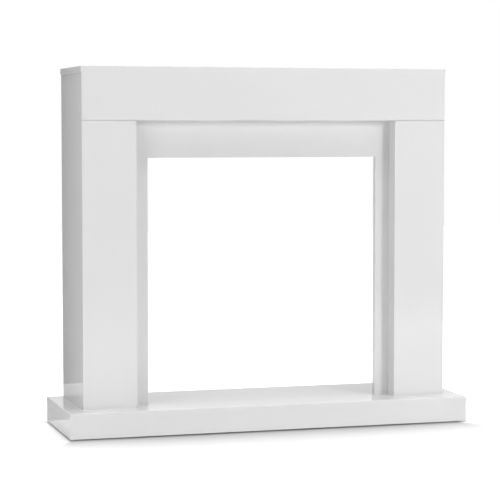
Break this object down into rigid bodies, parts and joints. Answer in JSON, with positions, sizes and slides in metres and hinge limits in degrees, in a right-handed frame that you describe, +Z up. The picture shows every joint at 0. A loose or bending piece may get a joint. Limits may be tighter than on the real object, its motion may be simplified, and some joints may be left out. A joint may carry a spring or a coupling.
{
  "type": "fireplace surround",
  "caption": "White high-gloss fireplace surround: box mantel and pillars round a recessed open frame, standing on a low hearth, built of mitred boards on cam fittings.",
  "frame": {"origin": "on the floor under the middle of the hearth's width and depth", "axes": "+X to the right seen from the front, +Y from the front to the wall, +Z up"},
  "size_m": [1.096, 0.33, 0.96],
  "materials": {
    "white_lacquer": "fibreboard with white high-gloss lacquer on the faces that show",
    "bare_mdf": "bare sanded fibreboard",
    "softwood": "planed softwood",
    "beech": "fluted beech",
    "die_cast_zinc": "tumbled die-cast zinc",
    "plated_steel": "bright zinc-plated steel",
    "glide_plastic": "moulded white plastic"
  },
  "bodies": {
    "surround": {"bracket_screws": "plated_steel", "cam_bolts": "plated_steel", "floor_glides": "glide_plastic", "header_dowels": "beech", "header_panel": "white_lacquer", "hearth_back_rail": "bare_mdf", "hearth_centre_rib": "bare_mdf", "hearth_corner_blocks": "softwood", "hearth_frame_dowels": "beech", "hearth_front_fascia": "white_lacquer", "hearth_left_end": "white_lacquer", "hearth_left_rib": "bare_mdf", "hearth_right_end": "white_lacquer", "hearth_right_rib": "bare_mdf", "hearth_top_board": "white_lacquer", "left_corner_batten": "softwood", "left_pillar_front": "white_lacquer", "left_pillar_return": "white_lacquer", "left_return_batten": "softwood", "left_side_panel": "white_lacquer", "left_stile": "white_lacquer", "left_wall_bracket": "plated_steel", "mantel_back_rail": "bare_mdf", "mantel_bottom_board": "white_lacquer", "mantel_corner_blocks": "softwood", "mantel_frame_dowels": "beech", "mantel_front_fascia": "white_lacquer", "mantel_left_rib": "bare_mdf", "mantel_right_rib": "bare_mdf", "mantel_top_board": "white_lacquer", "pillar_foot_dowels": "beech", "pillar_head_dowels": "beech", "right_corner_batten": "softwood", "right_pillar_front": "white_lacquer", "right_pillar_return": "white_lacquer", "right_return_batten": "softwood", "right_side_panel": "white_lacquer", "right_stile": "white_lacquer", "right_wall_bracket": "plated_steel", "stile_screws": "plated_steel"},
    "cam_left_header_disc": {"cam_left_header": "die_cast_zinc"},
    "cam_left_panel_foot_disc": {"cam_left_panel_foot": "die_cast_zinc"},
    "cam_left_panel_head_disc": {"cam_left_panel_head": "die_cast_zinc"},
    "cam_left_stile_foot_disc": {"cam_left_stile_foot": "die_cast_zinc"},
    "cam_right_header_disc": {"cam_right_header": "die_cast_zinc"},
    "cam_right_panel_foot_disc": {"cam_right_panel_foot": "die_cast_zinc"},
    "cam_right_panel_head_disc": {"cam_right_panel_head": "die_cast_zinc"},
    "cam_right_stile_foot_disc": {"cam_right_stile_foot": "die_cast_zinc"}
  },
  "joints": [
    {"name": "cam_left_header_turn", "type": "hinge", "parent": "surround", "child": "cam_left_header_disc", "pos_m": [-0.21, -0.047, 0.796], "axis": [0, 1, 0], "range_deg": [0, 180]},
    {"name": "cam_left_panel_foot_turn", "type": "hinge", "parent": "surround", "child": "cam_left_panel_foot_disc", "pos_m": [-0.486, 0.059, 0.094], "axis": [1, 0, 0], "range_deg": [0, 180]},
    {"name": "cam_left_panel_head_turn", "type": "hinge", "parent": "surround", "child": "cam_left_panel_head_disc", "pos_m": [-0.486, 0.059, 0.92], "axis": [1, 0, 0], "range_deg": [0, 180]},
    {"name": "cam_left_stile_foot_turn", "type": "hinge", "parent": "surround", "child": "cam_left_stile_foot_disc", "pos_m": [-0.366, -0.047, 0.094], "axis": [0, 1, 0], "range_deg": [0, 180]},
    {"name": "cam_right_header_turn", "type": "hinge", "parent": "surround", "child": "cam_right_header_disc", "pos_m": [0.21, -0.047, 0.796], "axis": [0, 1, 0], "range_deg": [0, 180]},
    {"name": "cam_right_panel_foot_turn", "type": "hinge", "parent": "surround", "child": "cam_right_panel_foot_disc", "pos_m": [0.486, 0.059, 0.094], "axis": [-1, 0, 0], "range_deg": [0, 180]},
    {"name": "cam_right_panel_head_turn", "type": "hinge", "parent": "surround", "child": "cam_right_panel_head_disc", "pos_m": [0.486, 0.059, 0.92], "axis": [-1, 0, 0], "range_deg": [0, 180]},
    {"name": "cam_right_stile_foot_turn", "type": "hinge", "parent": "surround", "child": "cam_right_stile_foot_disc", "pos_m": [0.366, -0.047, 0.094], "axis": [0, 1, 0], "range_deg": [0, 180]}
  ]
}
